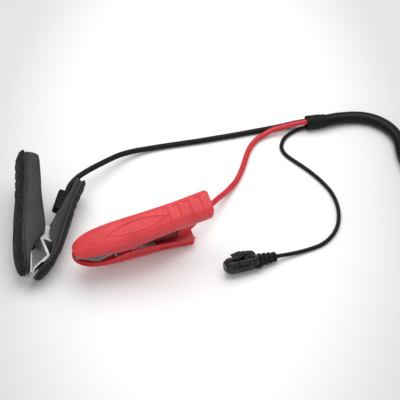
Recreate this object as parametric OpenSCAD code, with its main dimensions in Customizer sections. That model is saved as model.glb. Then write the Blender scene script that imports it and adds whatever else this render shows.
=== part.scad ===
// Lead set of a battery tester: two battery clamps, a latching sensor lead and the
// trunk cable that they share, joined in a splitter sleeve.
// Millimetres, Z up. The set lies on the plane Z = 0, with the two clamps centred on
// the origin. A clamp's own frame has its pivot at the origin, +X to the handles,
// +Z to the long arm and Y along the pivot pin.

/* [Clamp] */
// Jaw half of a clamp, from the pivot to the nose
jaw_len = 46; // [42:1:52]
// Handle of the long arm, from the pivot to its end
long_handle = 82; // [72:1:95]
// Handle of the cable arm, from the pivot to its end
cable_handle = 69; // [60:1:78]
// Width of a grip at its handle
grip_w = 23; // [22.5:0.5:27]
// Angle between the two arms with the jaws closed
closed_angle = 14; // [12:0.5:20]
// Height of the long arm's lip above the pivot
long_lip = 18.5; // [17:0.5:21]
// Height of the cable arm's lip above the pivot
cable_lip = 21.5; // [20:0.5:24]
// Height of a nose's lip above the pivot
nose_lip = 12.25; // [11.5:0.25:13.5]
// Rise of a grip's crown above its lip
crown = 3; // [2:0.25:5]
// Depth of the long arm's side wall at the pivot
long_lobe = 22.5; // [20:0.5:23.5]
// Depth of the cable arm's side wall at the pivot
cable_lobe = 13.5; // [12:0.5:15]
// Depth of the long arm's side wall at the handle's end
long_end_wall = 14.5; // [12:0.5:16]
// Depth of the cable arm's side wall at the handle's end
cable_end_wall = 8; // [7:0.5:10]
// Thickness of a side wall
wall_t = 1.6; // [1.3:0.1:1.8]
// Thickness of the web under a grip
web_t = 2.4; // [1.8:0.1:3]
// Height of the lip along a grip's edge
lip_h = 1; // [0.6:0.1:1.6]
// Height of the groove under the lip
groove_h = 2; // [1:0.1:2.5]
// Number of grip ribs
rib_count = 4; // [2:1:6]
// Distance from one grip rib to the next
rib_pitch = 10; // [7:0.5:12]

/* [Jaws and pivot] */
// Thickness of the stamped jaw strip
strip_t = 1.2; // [0.8:0.1:1.6]
// Half width of a jaw strip
strip_hw = 8.3; // [8.2:0.1:8.5]
// Half width of the jaws at their tips
tip_hw = 5; // [4:0.5:8]
// Depth of the flanges on both sides of the jaws
flange_h = 2.4; // [2:0.2:2.6]
// Radius of the pivot pin
pin_r = 2.4; // [2:0.1:3]
// Radial clearance of the long jaw on the pin
pin_clear = 0.05; // [0.02:0.01:0.1]
// Radius of a jaw ear around the pin
ear_r = 5.4; // [4.8:0.1:6]
// Radius of the rivets that hold a jaw
rivet_r = 1.5; // [1.2:0.1:2]
// Wire diameter of the torsion spring
wire_d = 1.6; // [1.2:0.1:1.8]
// Mean radius of the torsion spring's coil
coil_r = 4.4; // [4.1:0.1:4.8]

/* [Leads] */
// Diameter of the red and the black lead
lead_d = 5.4; // [4.6:0.1:5.6]
// Diameter of the sensor lead
sensor_d = 3.8; // [3:0.1:4]
// Diameter of the trunk cable
trunk_d = 12; // [10:0.5:13]
// Diameter of the splitter sleeve
sleeve_d = 14.4; // [13.6:0.2:17]
// Length of the splitter sleeve
sleeve_len = 20; // [18:1:26]

/* [Sensor connector] */
// Width of the connector's housing
conn_w = 13; // [12:0.5:16]
// Height of the connector's housing
conn_h = 12; // [11:0.5:15]
// Length of the blanking cap that closes the connector
cap_len = 12; // [9:0.5:14]
// Length of the connector's housing behind the cap
conn_len = 19; // [17:0.5:22]
// Length of the ribbed boot
boot_len = 18; // [14:1:24]

/* [Trunk plug] */
// Radius of the plug's barrel
plug_r = 9.5; // [8.5:0.25:12]
// Length of the bare barrel that enters the tester's socket
plug_nose = 12; // [9:0.5:16]
// Length of the coupling ring
ring_len = 16; // [12:1:22]
// Radial clearance of the coupling ring on the barrel
ring_clear = 0.3; // [0.2:0.05:0.5]

/* [Hidden] */
$fn = 48;
clamp_parts = ["long_grip", "long_arm", "long_jaw", "long_rivets", "cable_grip",
  "cable_arm", "cable_jaw", "cable_rivets", "pivot_pin", "torsion_spring", "crimp",
  "cord_grommet", "lead"];

red = "#d8262c";
red_dark = "#b01c22";
black = "#26272a";
black_soft = "#36383b";
steel = "#c9ccd0";
brass = "#c8a24a";

// Where each clamp lies: place of its pivot and its turns about X, Y and Z.
red_place = [12.1, -34.8, 31.85];
red_turn = [20, -2.3, 20];
black_place = [-65.9, -17.1, 20.4];
black_turn = [-68, -6.7, 85.3];

// Frames of the splitter sleeve (+X to the trunk), the sensor connector (+X to its front)
// and the trunk's plug (+X to its nose). Each has its origin where the cable comes in.
sleeve_place = [183.3, 142, 7.2];
sleeve_turn = [0, 0, 10];
conn_place = [147.3, -32, 5.8];
conn_turn = [22, -5, 200];
coil_place = [357.3, 29, 0];
plug_place = [411.3, 109, 13];
plug_turn = [0, 0, 138];

// ---- Small helpers --------------------------------------------------------------
function unit(v) = v / norm(v);
function flat(lists) = [for (list = lists) each list];
function turn_x(p, a) = [p.x, p.y * cos(a) - p.z * sin(a), p.y * sin(a) + p.z * cos(a)];
function turn_y(p, a) = [p.x * cos(a) + p.z * sin(a), p.y, p.z * cos(a) - p.x * sin(a)];
function turn_z(p, a) = [p.x * cos(a) - p.y * sin(a), p.x * sin(a) + p.y * cos(a), p.z];

// A point of the cable arm's frame, or of the long arm's, in the clamp's own frame.
function from_cable_arm(p) = turn_y([p.x, -p.y, -p.z], closed_angle / 2);
function from_long_arm(p) = turn_y(p, -closed_angle / 2);

// A point of a clamp's own frame in the frame of the whole set.
function laid(p, place, turn) = place + turn_z(turn_y(turn_x(p, turn.x), turn.y), turn.z);

// A smooth curve through the rows [x, value, ...] of a table, read at x.
function row_at(table, x, i = 0) =
  i >= len(table) - 2 || x < table[i + 1][0] ? i : row_at(table, x, i + 1);
function slope_at(table, i, k) =
  let (a = max(0, i - 1), b = min(len(table) - 1, i + 1))
  (table[b][k] - table[a][k]) / (table[b][0] - table[a][0]);
function curve(table, x, k) =
  let (i = row_at(table, x), p = table[i], q = table[i + 1], h = q[0] - p[0],
    u = (x - p[0]) / h, u2 = u * u, u3 = u2 * u)
  p[k] * (2 * u3 - 3 * u2 + 1) + h * slope_at(table, i, k) * (u3 - 2 * u2 + u)
  + q[k] * (3 * u2 - 2 * u3) + h * slope_at(table, i + 1, k) * (u3 - u2);

// A solid through closed outlines that all have the same number of points.
module loft(outlines) {
  n = len(outlines[0]);
  rows = len(outlines);
  sides = [for (i = [0 : rows - 2], j = [0 : n - 1])
    let (a = i * n + j, b = i * n + (j + 1) % n) each [[b, a, b + n], [b + n, a, a + n]]];
  first = [for (j = [0 : n - 1]) j];
  last = [for (j = [n - 1 : -1 : 0]) (rows - 1) * n + j];
  polyhedron(points = flat(outlines), faces = concat(sides, [first, last]));
}

// A round tube along a route. The rings stand upright to up as far as the route lets them.
function ring_along(route, i, r, n, up) =
  let (ahead = unit(route[min(i + 1, len(route) - 1)] - route[max(i - 1, 0)]),
    side = unit(cross(up, ahead)), over = cross(ahead, side))
  [for (j = [0 : n - 1]) route[i] + r * (cos(360 * j / n) * side + sin(360 * j / n) * over)];

module tube(route, r, n, up = [0, 0, 1]) {
  loft([for (i = [0 : len(route) - 1]) ring_along(route, i, r, n, up)]);
}

// A strip of even thickness on the left of a route in a plane.
function left_of(a, b) = unit([a.y - b.y, b.x - a.x]);
function mitre(route, i, t) =
  let (a = route[max(i - 1, 0)], p = route[i], b = route[min(i + 1, len(route) - 1)],
    m = i == 0 ? left_of(p, b) : left_of(a, p), q = i == len(route) - 1 ? m : left_of(p, b))
  p + t / (1 + m * q) * (m + q);
function strip(route, t) = concat(route,
  [for (i = [len(route) - 1 : -1 : 0]) mitre(route, i, t)]);

// ---- Arms of a clamp --------------------------------------------------------------
// Half width and lip's share of its rise, from the nose (-1) to the pivot (0) and on to
// the handle's end (1).
plan = [
  [-1, 0.2, 0], [-0.985, 0.38, 0.04], [-0.93, 0.6, 0.15], [-0.86, 0.76, 0.29],
  [-0.75, 0.9, 0.5], [-0.6, 1, 0.72], [-0.4, 1.04, 0.9], [-0.18, 1.05, 1],
  [0.05, 1.04, 1], [0.3, 0.99, 1], [0.56, 0.97, 1], [0.62, 0.97, 1], [0.85, 1, 1.14],
  [1, 1.02, 1.25]];
plan_steps = [-1, -0.985, -0.955, -0.92, -0.87, -0.82, -0.75, -0.66, -0.56, -0.45, -0.33, -0.2,
  -0.08, 0.04, 0.16, 0.28, 0.42, 0.56, 0.7, 0.83, 0.92, 0.97, 0.985, 1];

function along(u, handle) = u < 0 ? u * jaw_len : u * handle;
function half_width(u) = curve(plan, u, 1) * grip_w / 2;
function lip_z(u, lip) = nose_lip + (lip - nose_lip) * curve(plan, u, 2);

// Depth of the side wall below the lip: a lobe covers the pivot, and the jaw's wall is cut back.
long_depth = [
  [-1, 3.2], [-0.93, 4.4], [-0.86, 5.6], [-0.75, 6.8], [-0.62, 8.6], [-0.46, 11.4], [-0.34, 14.8],
  [-0.2, long_lobe - 3.4], [-0.08, long_lobe - 0.6], [0.05, long_lobe], [0.14, long_lobe - 0.8],
  [0.3, long_end_wall + 5.5], [0.5, long_end_wall + 3.3], [0.8, long_end_wall + 1.8],
  [0.95, long_end_wall + 0.6], [1, long_end_wall - 2]];
cable_depth = [
  [-1, 3.4], [-0.86, 3.8], [-0.66, 4.1], [-0.5, 4.6], [-0.36, 5.6], [-0.22, cable_lobe - 6],
  [-0.08, cable_lobe - 2], [0.05, cable_lobe], [0.3, cable_lobe - 0.9],
  [0.5, cable_end_wall + 2.2], [0.75, cable_end_wall + 0.2], [0.92, cable_end_wall],
  [1, cable_end_wall - 0.6]];

// Outline across a grip: flat below, lip at the edge, sloped shoulders and a crown.
grip_profile = [[1, 0.16], [0.965, 0.26], [0.83, 0.5], [0.64, 0.76], [0.42, 0.92]];
function rounded_end(u) = u > 0.97 ? 1 - 9 * (u - 0.97) : 1;
function crown_at(u) = crown * min(1, 0.36 + 2.4 * pow(max(0, 1 + u), 0.6)) * rounded_end(u);
function grip_outline(u, lip, handle) =
  let (x = along(u, handle), w = half_width(u) * (0.25 + 0.75 * rounded_end(u)),
    z = lip_z(u, lip), c = crown_at(u))
  concat([[x, w, z - lip_h]], [for (p = grip_profile) [x, w * p.x, z + c * p.y]], [[x, 0, z + c]],
    [for (i = [len(grip_profile) - 1 : -1 : 0]) [x, -w * grip_profile[i].x, z + c * grip_profile[i].y]],
    [[x, -w, z - lip_h]]);

// Outline across an arm under its grip: a web with a groove above the side walls.
function arm_outline(u, lip, handle, depth) =
  let (x = along(u, handle), w = half_width(u) * (0.25 + 0.75 * rounded_end(u)),
    z = lip_z(u, lip), d = curve(depth, u, 1), top = z - lip_h,
    k = min(1, (d - lip_h) / (2 * groove_h)), g = top - groove_h * k * 0.8, s = g - 0.5 * k,
    neck = w - min(2.2, 0.35 * w), wall = w - min(0.9, 0.15 * w), edge = z - d)
  [[x, -neck, top], [x, -neck, g], [x, -wall, s], [x, -wall, edge],
   [x, wall, edge], [x, wall, s], [x, neck, g], [x, neck, top]];

// The hollow between the side walls, open below. It runs from behind the nose to past to_u.
hollow_steps = [-0.8, -0.7, -0.55, -0.4, -0.2, 0, 0.2, 0.4, 0.6, 0.8, 0.97];
function hollow_outline(u, x_shift, lip, handle, depth) =
  let (x = along(u, handle) + x_shift, w = half_width(u) - 0.9 - wall_t,
    top = lip_z(u, lip) - lip_h - web_t, low = lip_z(u, lip) - curve(depth, u, 1) - 4)
  [[x, -w, top], [x, -w, low], [x, w, low], [x, w, top]];

module arm_body(lip, handle, depth, open_end) {
  last = hollow_steps[len(hollow_steps) - 1];
  difference() {
    loft([for (u = plan_steps) arm_outline(u, lip, handle, depth)]);
    loft(concat([for (u = hollow_steps) hollow_outline(u, 0, lip, handle, depth)],
      open_end ? [hollow_outline(last, handle * 0.1, lip, handle, depth)] : []));
    rivet_row() cylinder(r = rivet_r, h = lip + 1);
  }
}

module grip(lip, handle) {
  ring_len = handle * 0.7;
  union() {
    loft([for (u = plan_steps) grip_outline(u, lip, handle)]);
    for (i = [0 : rib_count - 1])
      let(x = handle - 8 - i * rib_pitch) translate([x, 0, lip_z(x / handle, lip)]) grip_rib(grip_w * 0.48);
    translate([handle * 0.17, 0, lip + crown * 0.9]) oval_ring(ring_len, grip_w * 0.48);
  }
}

// A raised rib that follows the crown, with a short hook to the jaws at its far end.
module grip_rib(w) {
  rib_w = 0.9;
  rise = 0.45;
  top = concat([[w * grip_profile[2].x, crown * 0.3]],
    [for (i = [2 : 4]) [w * grip_profile[i].x, crown * grip_profile[i].y + rise]], [[0, crown + rise]]);
  rotate([90, 0, 90]) linear_extrude(rib_w, center = true)
    polygon(concat(top, [for (i = [3 : -1 : 0]) [-top[i].x, top[i].y]]));
  translate([-4, w * 0.64 - rib_w, crown * 0.5]) cube([4, rib_w, crown * 0.26 + rise]);
}

// A raised bare ring, oval in plan, made of two arcs that meet in points.
module oval_ring(length, width) {
  bow_r = (length * length / 4 + width * width / 4) / width;
  linear_extrude(crown * 0.16) difference() {
    oval(bow_r, bow_r - width / 2);
    oval(bow_r - 0.8, bow_r - width / 2);
  }
}
module oval(r, offset_y) {
  intersection() {
    translate([0, offset_y]) circle(r, $fn = 96);
    translate([0, -offset_y]) circle(r, $fn = 96);
  }
}

// ---- Jaws, pin, rivets and spring -----------------------------------------------------
half_angle = closed_angle / 2;
tip_x = -jaw_len + 1;
tip_z = (0.15 - tip_x * sin(half_angle)) / cos(half_angle);
long_elbow = [-21, 7];
cable_elbow = [-24, 13.2];
apex = [-8.3, 1.2];
riser_x = -7.4;
long_ear_y = 7;
cable_ear_y = 5.6;
rivet_x = [3, 13];

function web_z(lip) = lip - lip_h - web_t;

module rivet_row() {
  for (x = rivet_x) translate([x, 0, 0]) children();
}

module jaw(lip, elbow, tail_x, ear_y, bore_r) {
  tail_z = web_z(lip) - strip_t;
  route = [[tip_x, tip_z], [tip_x + 5, tip_z + 0.2], elbow, apex, [riser_x, tail_z], [tail_x, tail_z]];
  mouth = [[tip_x, tip_z], [tip_x + 5, tip_z + 0.2], elbow, apex];
  difference() {
    union() {
      intersection() {
        union() {
          rotate([90, 0, 0]) linear_extrude(2 * strip_hw, center = true)
            polygon(strip(route, strip_t));
          for (side = [-1, 1])
            translate([0, side * (strip_hw - strip_t / 2), 0]) rotate([90, 0, 0])
              linear_extrude(strip_t, center = true) polygon(strip(mouth, flange_h));
        }
        linear_extrude(lip + 5) polygon([[tip_x, -tip_hw], [elbow.x, -strip_hw], [tail_x, -strip_hw],
          [tail_x, strip_hw], [elbow.x, strip_hw], [tip_x, tip_hw]]);
      }
      for (side = [-1, 1])
        translate([0, side * (ear_y + strip_t / 2), 0]) rotate([90, 0, 0])
          linear_extrude(strip_t, center = true) ear(tail_z);
    }
    rotate([90, 0, 0]) cylinder(r = bore_r, h = 4 * strip_hw, center = true);
    rivet_row() cylinder(r = rivet_r, h = lip);
  }
}
module ear(tail_z) {
  circle(ear_r);
  polygon([[riser_x, apex.y + 3], [riser_x, tail_z + strip_t / 2], [9, tail_z + strip_t / 2],
    [ear_r - 0.3, 1], [-ear_r + 0.3, -0.6]]);
}

module rivets(lip) {
  head_h = 0.8;
  tail_z = web_z(lip) - strip_t;
  rivet_row() {
    translate([0, 0, tail_z]) cylinder(r = rivet_r, h = strip_t + web_t);
    translate([0, 0, tail_z - head_h]) cylinder(r1 = rivet_r + 0.4, r2 = rivet_r + 1, h = head_h);
  }
}

module pivot_pin() {
  head_r = pin_r + 1.1;
  head_h = 0.8;
  head_y = long_ear_y + strip_t + 0.05;
  rotate([90, 0, 0]) cylinder(r = pin_r, h = 2 * head_y, center = true);
  for (side = [-1, 1])
    translate([0, side * (head_y + head_h / 2), 0]) rotate([90, 0, 0])
      cylinder(r = head_r, h = head_h, center = true);
}

// The spring's wire: a leg under the long arm's jaw, the coil and a leg on the cable arm's jaw.
spring_leg = 16;
spring_turns = 4;
function leg_end(lip, side) =
  let (p = [spring_leg, 0, web_z(lip) - strip_t - wire_d / 2 - 0.1])
  side > 0 ? from_long_arm(p) : from_cable_arm(p);
function tangent_angle(p, side) = atan2(p.z, p.x) + side * acos(coil_r / norm([p.x, p.z]));
function spring_route() =
  let (a = leg_end(long_lip, 1), b = leg_end(cable_lip, -1), from = tangent_angle(a, 1),
    to = tangent_angle(b, -1) + 360 * (spring_turns + 1), steps = 12 * spring_turns + 4,
    half_y = cable_ear_y - wire_d)
  concat([[a.x, half_y, a.z]],
    [for (i = [0 : steps]) let (f = from + (to - from) * i / steps)
      [coil_r * cos(f), half_y - 2 * half_y * i / steps, coil_r * sin(f)]],
    [[b.x, -half_y, b.z]]);

module torsion_spring() {
  tube(spring_route(), wire_d / 2, 6, [0, 1, 0]);
}

// ---- Cord end in the cable arm -----------------------------------------------------------
crimp_x = [21, 32];
grommet_x = [33, 54];
grommet_r = 4.8;
crimp_r = grommet_r - strip_t;
crimp_grip = 4;
cord_z = web_z(cable_lip) - grommet_r - 0.1;

// Barrel on the jaw's tail that is crimped on the cord's strands.
module crimp() {
  tail_top = web_z(cable_lip) - strip_t;
  translate([crimp_x[0], 0, cord_z]) rotate([0, 90, 0]) difference() {
    cylinder(r = crimp_r, h = crimp_x[1] - crimp_x[0]);
    translate([0, 0, crimp_x[1] - crimp_x[0] - crimp_grip]) cylinder(r = lead_d / 2, h = crimp_grip + 1);
  }
  translate([crimp_x[0] - 5, -2.4, tail_top - 1.2]) cube([5.5, 4.8, 1.2]);
}

// Ribbed grommet on the cord's end, with a bore that grips the cord.
module cord_grommet() {
  length = grommet_x[1] - grommet_x[0];
  ribs = 6;
  pitch = length / ribs;
  translate([grommet_x[0], 0, cord_z]) rotate([0, 90, 0]) difference() {
    for (i = [0 : ribs - 1]) {
      translate([0, 0, i * pitch]) cylinder(r = grommet_r, h = pitch * 0.55);
      translate([0, 0, i * pitch]) cylinder(r = grommet_r - 0.8, h = pitch);
    }
    translate([0, 0, -1]) cylinder(r = lead_d / 2, h = length + 2);
  }
}

module at_long_arm() {
  rotate([0, -half_angle, 0]) children();
}
module at_cable_arm() {
  rotate([0, half_angle, 0]) rotate([180, 0, 0]) children();
}

// The parts of one clamp in its own frame.
module clamp_part(part, plastic, soft) {
  if (part == "long_grip") color(soft) at_long_arm() grip(long_lip, long_handle);
  if (part == "long_arm")
    color(plastic) at_long_arm() arm_body(long_lip, long_handle, long_depth, false);
  if (part == "long_jaw")
    color(steel) at_long_arm() jaw(long_lip, long_elbow, 18, long_ear_y, pin_r + pin_clear);
  if (part == "long_rivets") color(steel) at_long_arm() rivets(long_lip);
  if (part == "cable_grip") color(soft) at_cable_arm() grip(cable_lip, cable_handle);
  if (part == "cable_arm") color(plastic) at_cable_arm() cable_arm();
  if (part == "cable_jaw")
    color(steel) at_cable_arm() jaw(cable_lip, cable_elbow, crimp_x[1], cable_ear_y, pin_r);
  if (part == "cable_rivets") color(steel) at_cable_arm() rivets(cable_lip);
  if (part == "pivot_pin") color(steel) pivot_pin();
  if (part == "torsion_spring") color(steel) torsion_spring();
  if (part == "crimp") color(brass) at_cable_arm() crimp();
  if (part == "cord_grommet") color(soft) at_cable_arm() cord_grommet();
}

// The cable arm has a window in the side wall away from its cord's ribs.
module cable_arm() {
  difference() {
    arm_body(cable_lip, cable_handle, cable_depth, true);
    translate([8, -grip_w, cable_lip - cable_lobe - 3]) cube([12, grip_w - 6, cable_lobe - 3]);
  }
}

module red_clamp(part) {
  translate(red_place) rotate(red_turn) clamp_part(part, red_dark, red);
}
module black_clamp(part) {
  translate(black_place) rotate(black_turn) clamp_part(part, black, black_soft);
}

// ---- Leads and splitter sleeve ---------------------------------------------------------
red_bore = [-1.5, 3];
black_bore = [3.2, -0.6];
sensor_bore = [-1.8, -3.6];
lead_depth = 10;
trunk_depth = 7;

module splitter_sleeve() {
  color(black) translate(sleeve_place) rotate(sleeve_turn) rotate([90, 0, 90]) difference() {
    cylinder(r = sleeve_d / 2, h = sleeve_len);
    lead_hole(red_bore, lead_d);
    lead_hole(black_bore, lead_d);
    lead_hole(sensor_bore, sensor_d);
    translate([0, 0, sleeve_len - trunk_depth]) cylinder(r = trunk_d / 2, h = trunk_depth + 1);
  }
}
module lead_hole(place, d) {
  translate([place.x, place.y, -1]) cylinder(r = d / 2, h = lead_depth + 1);
}

// Where a lead leaves its handle, in the cable arm's frame.
red_exit = [[grommet_x[1] + 6, -1, cord_z - 0.8], [cable_handle - 2, -5, cord_z - 3.2]];
black_exit = [[grommet_x[1] + 5, 0, cord_z + 0.6], [cable_handle - 2, -1.6, cord_z + 1.6]];

// Points of a route inside a clamp's cable arm and inside the sleeve.
function in_arm(place, turn, exit) =
  [for (p = concat([for (x = [crimp_x[1] - crimp_grip, grommet_x[0], grommet_x[1]])
    [x, 0, cord_z]], exit)) laid(from_cable_arm(p), place, turn)];
function in_sleeve(bore) =
  [for (x = [0, lead_depth]) laid([x, bore[0], bore[1]], sleeve_place, sleeve_turn)];

red_route = [
  [77.3, 6.5, 17.4], [82.3, 15, 16.6], [87.1, 24, 14.4], [92.3, 34.5, 11], [98.3, 45, 7.4],
  [105.3, 55, 4.5], [112.3, 65.5, 2.8], [117.3, 77.5, 2.7], [120.3, 89.5, 2.7], [123.3, 101.5, 2.7],
  [127.3, 113.5, 2.7], [133.3, 123.5, 3], [141.8, 130, 4.4], [152.3, 134, 6.4], [162.3, 136, 8.2],
  [173.3, 138.5, 9.8]];
black_route = [
  [-33.2, 52.5, 19.6], [-26.2, 61.5, 19], [-17.7, 72, 16.8], [-8.2, 83.5, 13.4], [2.3, 94.1, 10],
  [15.8, 103.5, 6.2], [30.8, 110, 3.6], [46.3, 114.5, 2.7], [62.8, 118, 2.7], [79.3, 121.5, 2.7],
  [95.8, 125.5, 2.7], [112.3, 129.5, 2.7], [127.3, 133.5, 2.7], [142.3, 137.5, 2.7], [158.3, 141.5, 3.2],
  [171.3, 144, 5]];
sensor_route = [
  [174.3, 137, 2.7], [166.8, 132, 1.9], [160.8, 124, 1.9], [158.3, 113, 1.9],
  [161.3, 104, 1.9], [166.3, 98, 1.9], [175.3, 89, 1.9], [184.8, 79, 1.9], [194.8, 66, 1.9],
  [202.3, 53, 1.9], [206.8, 38, 1.9], [207.8, 23, 1.9], [205.3, 8, 1.9], [199.3, -4, 1.9],
  [190.3, -13.5, 1.9], [177.8, -20, 2], [164.3, -25.5, 3]];
trunk_route = [
  [212.3, 148.5, 6.6], [222.3, 150.1, 6], [232.3, 150.3, 6], [242.3, 148.7, 6], [252.3, 144.9, 6],
  [261.3, 137.9, 6], [267.8, 128.5, 6], [270.8, 117.5, 6], [271.8, 106.5, 6], [273.3, 96.5, 6],
  [276.3, 86.5, 6], [280.8, 76, 6], [285.3, 64.5, 6], [288.3, 52.5, 6], [289.3, 40.5, 6], [289.3, 29, 6]];
// The trunk's tail off the coil: angle about the coil's middle, radius and height.
tail_route = [
  [324, 62, 16.6], [334, 64, 17.6], [344, 68, 18.2], [354, 74, 16.4], [4, 81, 12.4],
  [14, 88, 8.4], [24, 92, 6.4], [34, 93, 6.8], [42, 94, 8.8], [49, 95.5, 11.2]];

module clamp_lead(place, turn, exit, route, bore) {
  tube(concat(in_arm(place, turn, exit), route, in_sleeve(bore)), lead_d / 2, 8);
}
module sensor_lead() {
  color(black_soft) tube(concat([for (x = [lead_depth, 0])
    laid([x, sensor_bore[0], sensor_bore[1]], sleeve_place, sleeve_turn)], sensor_route,
    [for (x = [0, 8]) laid([x, 0, 0], conn_place, conn_turn)]), sensor_d / 2, 8);
}
module trunk_cable() {
  color(black) tube(concat([for (x = [sleeve_len - trunk_depth, sleeve_len])
    laid([x, 0, 0], sleeve_place, sleeve_turn)], trunk_route), trunk_d / 2, 10);
}

// ---- Sensor connector --------------------------------------------------------------------
conn_r = 2;
hinge_x = 30;
hinge_z = conn_h / 2 + 2.4;
nose_len = cap_len - 3;

module at_connector() {
  translate(conn_place) rotate(conn_turn) children();
}

// A bar along +X with rounded edges.
module bar(w, h, length, r) {
  rotate([90, 0, 90]) linear_extrude(length) {
    square([w - 2 * r, h], center = true);
    square([w, h - 2 * r], center = true);
    for (y = [-1, 1], z = [-1, 1]) translate([y * (w / 2 - r), z * (h / 2 - r)]) circle(r);
  }
}

module sensor_boot() {
  ribs = 5;
  pitch = boot_len / ribs;
  color(black_soft) at_connector() rotate([0, 90, 0]) difference() {
    union() {
      cylinder(r1 = 2.6, r2 = 3.6, h = boot_len);
      for (i = [0 : ribs - 1])
        translate([0, 0, i * pitch + 0.4]) cylinder(r = 3.8 + 0.25 * i, h = pitch * 0.55);
    }
    translate([0, 0, -1]) cylinder(r = sensor_d / 2, h = 9);
  }
}

// The housing's nose carries the contacts and the cap fits over it.
module sensor_housing() {
  color(black) at_connector() {
    difference() {
      union() {
        translate([boot_len, 0, 0]) bar(conn_w, conn_h, conn_len, conn_r);
        translate([boot_len + conn_len - 1, 0, 0]) bar(conn_w - 3.4, conn_h - 3.4, nose_len + 1, 1);
      }
      translate([boot_len + conn_len + 1, 0, 0]) bar(conn_w - 6, conn_h - 6, nose_len, 0.5);
      translate([boot_len + 5, conn_w / 2 - 1, 0.6]) cube([conn_len - 4, 2, 3]);
    }
    translate([boot_len - 1, conn_w / 2 - 1.2, -4.4]) cube([5, 2.4, 2.2]);
    translate([boot_len + conn_len - 4, -2, -conn_h / 2 - 0.6]) cube([3, 4, 1.2]);
    for (y = [-4.8, 3.6]) difference() {
      translate([hinge_x - 1.6, y, conn_h / 2 - 0.6]) cube([3.2, 1.2, hinge_z - conn_h / 2 + 2.2]);
      translate([hinge_x, y - 1, hinge_z]) rotate([-90, 0, 0]) cylinder(r = 0.95, h = 4);
    }
  }
}

// The latch rocks on its own axle between the housing's two lugs.
module sensor_latch() {
  leaf = 1.2;
  half_w = 3.3;
  color(black) at_connector() translate([hinge_x, 0, hinge_z]) {
    rotate([90, 0, 0]) linear_extrude(2 * half_w, center = true)
      polygon([[9.5, -0.4], [9.5, -1.4], [8, -1.4], [2, 0.3], [0, -0.6], [-9, -0.6], [-9.6, 0.4],
        [-2, 1.9], [2, 1.9]]);
    rotate([90, 0, 0]) cylinder(r = 0.9, h = 9.2, center = true);
  }
}

module sensor_cap() {
  color(black) at_connector() translate([boot_len + conn_len + 0.2, 0, 0]) difference() {
    bar(conn_w, conn_h, cap_len, conn_r);
    translate([-1, 0, 0]) bar(conn_w - 2.8, conn_h - 2.8, nose_len + 1.4, 1.2);
  }
}

module sensor_contacts() {
  color(brass) at_connector() for (y = [-1.6, 1.6])
    translate([boot_len + conn_len + 1, y - 0.4, -1.2]) cube([nose_len - 2.5, 0.8, 2.4]);
}

// ---- Trunk's coil and plug ---------------------------------------------------------------
turn_r = [56, 62, 68];
top_z = 16.6;

function round_coil(p) = coil_place
  + [p[1] * cos(p[0]), p[1] * sin(p[0]), p[2]];

module coil_profile(extra) {
  r = trunk_d / 2 + extra;
  for (x = [turn_r[0], turn_r[2]]) translate([x, trunk_d / 2]) circle(r);
  translate([turn_r[1], top_z]) circle(r);
  polygon([[turn_r[0], trunk_d / 2 - r], [turn_r[2], trunk_d / 2 - r],
    [turn_r[2], trunk_d / 2] + r * [cos(30), sin(30)], [turn_r[1], top_z] + r * [cos(30), sin(30)],
    [turn_r[1], top_z] + r * [-cos(30), sin(30)], [turn_r[0], trunk_d / 2] + r * [-cos(30), sin(30)]]);
}
module trunk_coil() {
  color(black) translate(coil_place) rotate_extrude($fn = 96) coil_profile(0);
}
module coil_tie() {
  strap = 1;
  color(black_soft) translate(coil_place) rotate([0, 0, 225])
    rotate_extrude(angle = 12, $fn = 96) difference() {
      intersection() {
        coil_profile(strap);
        translate([turn_r[0] - trunk_d, 0]) square([4 * trunk_d, 3 * trunk_d]);
      }
      coil_profile(0);
    }
}
module trunk_tail() {
  color(black) tube(concat([for (p = tail_route) round_coil(p)],
    [for (x = [0, 8]) laid([x, 0, 0], plug_place, plug_turn)]), trunk_d / 2, 10);
}

plug_boot_len = 22;
shoulder_len = 11;
ring_r = plug_place.z;
ring_bore = plug_r + 0.8;
ring_start = plug_boot_len + shoulder_len;
nose_start = ring_start + ring_len + 0.6 + 1.4;

module at_plug(x) {
  translate(plug_place) rotate(plug_turn) translate([x, 0, 0]) rotate([0, 90, 0]) children();
}
module plug_boot() {
  color(black_soft) at_plug(0) difference() {
    union() {
      cylinder(r1 = 7.4, r2 = 9.4, h = plug_boot_len);
      for (i = [0 : 3]) translate([0, 0, 2 + i * 4.8]) cylinder(r = 8.6 + 0.4 * i, h = 2.4);
    }
    translate([0, 0, -1]) cylinder(r = trunk_d / 2, h = 9);
  }
}
module plug_barrel() {
  color(black) difference() {
    union() {
      at_plug(plug_boot_len) cylinder(r = ring_r - 1, h = shoulder_len);
      at_plug(ring_start - 1) cylinder(r = ring_bore - ring_clear, h = ring_len + 2);
      at_plug(nose_start - 1.4) cylinder(r = ring_bore + 0.8, h = 1.4);
      at_plug(nose_start) cylinder(r = plug_r, h = plug_nose);
    }
    at_plug(nose_start) cylinder(r = plug_r - 1.6, h = plug_nose + 1);
  }
}
module plug_ring() {
  grooves = 18;
  color(black_soft) at_plug(ring_start + 0.3) difference() {
    cylinder(r = ring_r, h = ring_len);
    translate([0, 0, -1]) cylinder(r = ring_bore, h = ring_len + 2);
    for (i = [0 : grooves - 1]) rotate(360 * i / grooves)
      translate([ring_r + 0.4, 0, 2]) cylinder(r = 1, h = ring_len - 4);
  }
}
module plug_insert() {
  color("#3a3b3d") at_plug(nose_start) cylinder(r = plug_r - 1.6, h = 2.5);
}
module plug_pins() {
  color(brass) at_plug(nose_start + 2.5) {
    cylinder(r = 0.8, h = 7);
    for (i = [0 : 5]) rotate(60 * i) translate([plug_r / 2, 0, 0]) cylinder(r = 0.8, h = 7);
  }
}

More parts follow.
